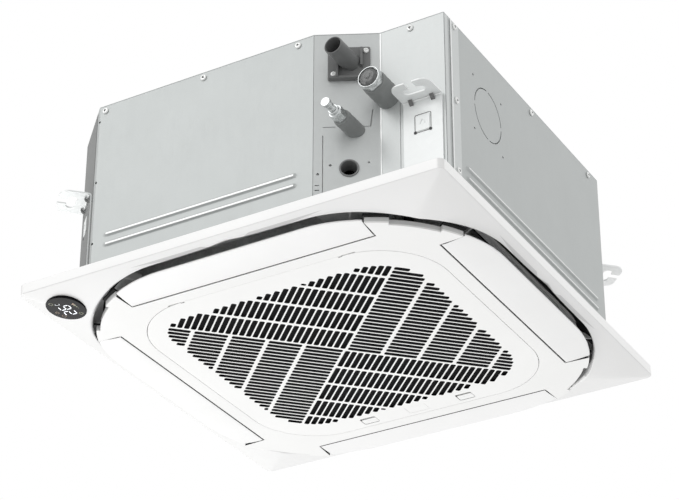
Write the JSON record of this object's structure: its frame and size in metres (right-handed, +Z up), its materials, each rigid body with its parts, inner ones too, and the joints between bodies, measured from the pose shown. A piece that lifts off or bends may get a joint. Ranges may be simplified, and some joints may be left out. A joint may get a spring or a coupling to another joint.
{
  "type": "ceiling cassette air conditioner",
  "caption": "Square ceiling cassette air conditioner: a sheet steel cabinet for the ceiling void over a white panel with hinged outlet flaps round a swing-down intake grille.",
  "frame": {"origin": "middle of the panel's lowest face, at the crossing of the intake grille's ribs", "axes": "+Z up out of the room into the ceiling; -Y towards the cabinet's long ribbed side with the pipe ends; +X towards the side with the round knock-out"},
  "size_m": [0.62, 0.645, 0.2938],
  "materials": {
    "galvanised_sheet": "galvanised and clear-lacquered steel sheet, satin",
    "bracket_steel": "zinc-plated steel, bright satin",
    "white_plastic": "white moulded plastic, fine satin",
    "grille_plastic": "white moulded plastic, fine satin",
    "filter_mesh": "black plastic frame with a fine black mesh",
    "display_glass": "gloss black lens with plain lit digits behind it",
    "grey_plastic": "dark grey moulded plastic, satin",
    "pipe_foam": "closed-cell foam rubber tube, matt dark grey",
    "nut_metal": "bright turned metal",
    "copper": "bare copper tube",
    "foam_board": "white expanded polystyrene",
    "coil_fins": "stacked aluminium fins",
    "coil_end": "steel end plate with copper bends",
    "fan_plastic": "white fan plastic",
    "motor_steel": "zinc-plated motor shell",
    "shaft_steel": "ground steel",
    "pump_plastic": "natural white pump plastic",
    "dark_plastic": "black plastic",
    "board": "green circuit board with its parts",
    "gasket_rubber": "black rubber"
  },
  "bodies": {
    "cabinet": {"top_cover": "galvanised_sheet", "front_side_sheet": "galvanised_sheet", "right_side_sheet": "galvanised_sheet", "back_side_sheet": "galvanised_sheet", "left_side_sheet": "galvanised_sheet", "pipe_corner_sheet": "galvanised_sheet", "control_box": "galvanised_sheet", "control_box_lid": "galvanised_sheet", "motor_plate": "galvanised_sheet", "suspension_bracket_left": "bracket_steel", "suspension_bracket_pipe_corner": "bracket_steel", "suspension_bracket_right": "bracket_steel", "suspension_bracket_back": "bracket_steel", "foam_liner": "foam_board", "drain_pan": "foam_board", "heat_exchanger": "coil_fins", "coil_end_plate_front": "coil_end", "coil_end_plate_right": "coil_end", "bell_mouth": "fan_plastic", "fan_motor": "motor_steel", "panel_bolt_right": "shaft_steel", "panel_bolt_back": "shaft_steel", "panel_bolt_left": "shaft_steel", "panel_bolt_pipe_corner": "shaft_steel", "pump_housing": "pump_plastic", "float_stem": "pump_plastic", "pump_motor": "dark_plastic", "drain_hose": "grey_plastic", "drain_spout": "grey_plastic", "gas_plug": "grey_plastic", "circuit_board": "board", "gas_pipe": "copper", "liquid_pipe": "copper", "gas_pipe_sleeve": "pipe_foam", "liquid_pipe_sleeve": "pipe_foam", "gas_flare_nut": "nut_metal", "liquid_flare_nut": "nut_metal", "liquid_cap": "nut_metal", "cable_ring": "gasket_rubber", "fascia_frame": "white_plastic", "panel_base": "white_plastic", "centre_plate": "white_plastic", "flap_motor_front": "motor_steel", "flap_motor_right": "motor_steel", "flap_motor_back": "motor_steel", "flap_motor_left": "motor_steel", "display": "display_glass"},
    "fan": {"motor_shaft": "shaft_steel", "impeller": "fan_plastic", "impeller_nut": "shaft_steel"},
    "pump_rotor": {"pump_impeller": "pump_plastic"},
    "float_body": {"float": "pump_plastic"},
    "front_flap": {"flap_front": "white_plastic"},
    "right_flap": {"flap_right": "white_plastic"},
    "back_flap": {"flap_back": "white_plastic"},
    "left_flap": {"flap_left": "white_plastic"},
    "grille": {"intake_grille": "grille_plastic", "air_filter": "filter_mesh"},
    "left_latch": {"latch_left": "white_plastic"},
    "right_latch": {"latch_right": "white_plastic"}
  },
  "joints": [
    {"name": "fan_spin", "type": "hinge", "parent": "cabinet", "child": "fan", "pos_m": [0, 0, 0.2], "axis": [0, 0, 1], "continuous": true},
    {"name": "pump_spin", "type": "hinge", "parent": "cabinet", "child": "pump_rotor", "pos_m": [0.197, -0.197, 0.08], "axis": [0, 0, 1], "continuous": true},
    {"name": "float_rise", "type": "slide", "parent": "cabinet", "child": "float_body", "axis": [0, 0, 1], "range_m": [0, 0.012]},
    {"name": "front_flap_tilt", "type": "hinge", "parent": "cabinet", "child": "front_flap", "pos_m": [0, -0.2408, 0.006], "axis": [1, 0, 0], "range_deg": [0, 50]},
    {"name": "right_flap_tilt", "type": "hinge", "parent": "cabinet", "child": "right_flap", "pos_m": [0.2408, 0, 0.006], "axis": [0, 1, 0], "range_deg": [0, 50]},
    {"name": "back_flap_tilt", "type": "hinge", "parent": "cabinet", "child": "back_flap", "pos_m": [0, 0.2408, 0.006], "axis": [-1, 0, 0], "range_deg": [0, 50]},
    {"name": "left_flap_tilt", "type": "hinge", "parent": "cabinet", "child": "left_flap", "pos_m": [-0.2408, 0, 0.006], "axis": [0, -1, 0], "range_deg": [0, 50]},
    {"name": "grille_swing", "type": "hinge", "parent": "cabinet", "child": "grille", "pos_m": [0, -0.21615, 0.0015], "axis": [-1, 0, 0], "range_deg": [0, 90]},
    {"name": "left_latch_slide", "type": "slide", "parent": "grille", "child": "left_latch", "axis": [0, -1, 0], "range_m": [0, 0.0044], "stiffness_N_per_m": 200, "springref_m": -0.003},
    {"name": "right_latch_slide", "type": "slide", "parent": "grille", "child": "right_latch", "axis": [0, -1, 0], "range_m": [0, 0.0044], "stiffness_N_per_m": 200, "springref_m": -0.003}
  ]
}
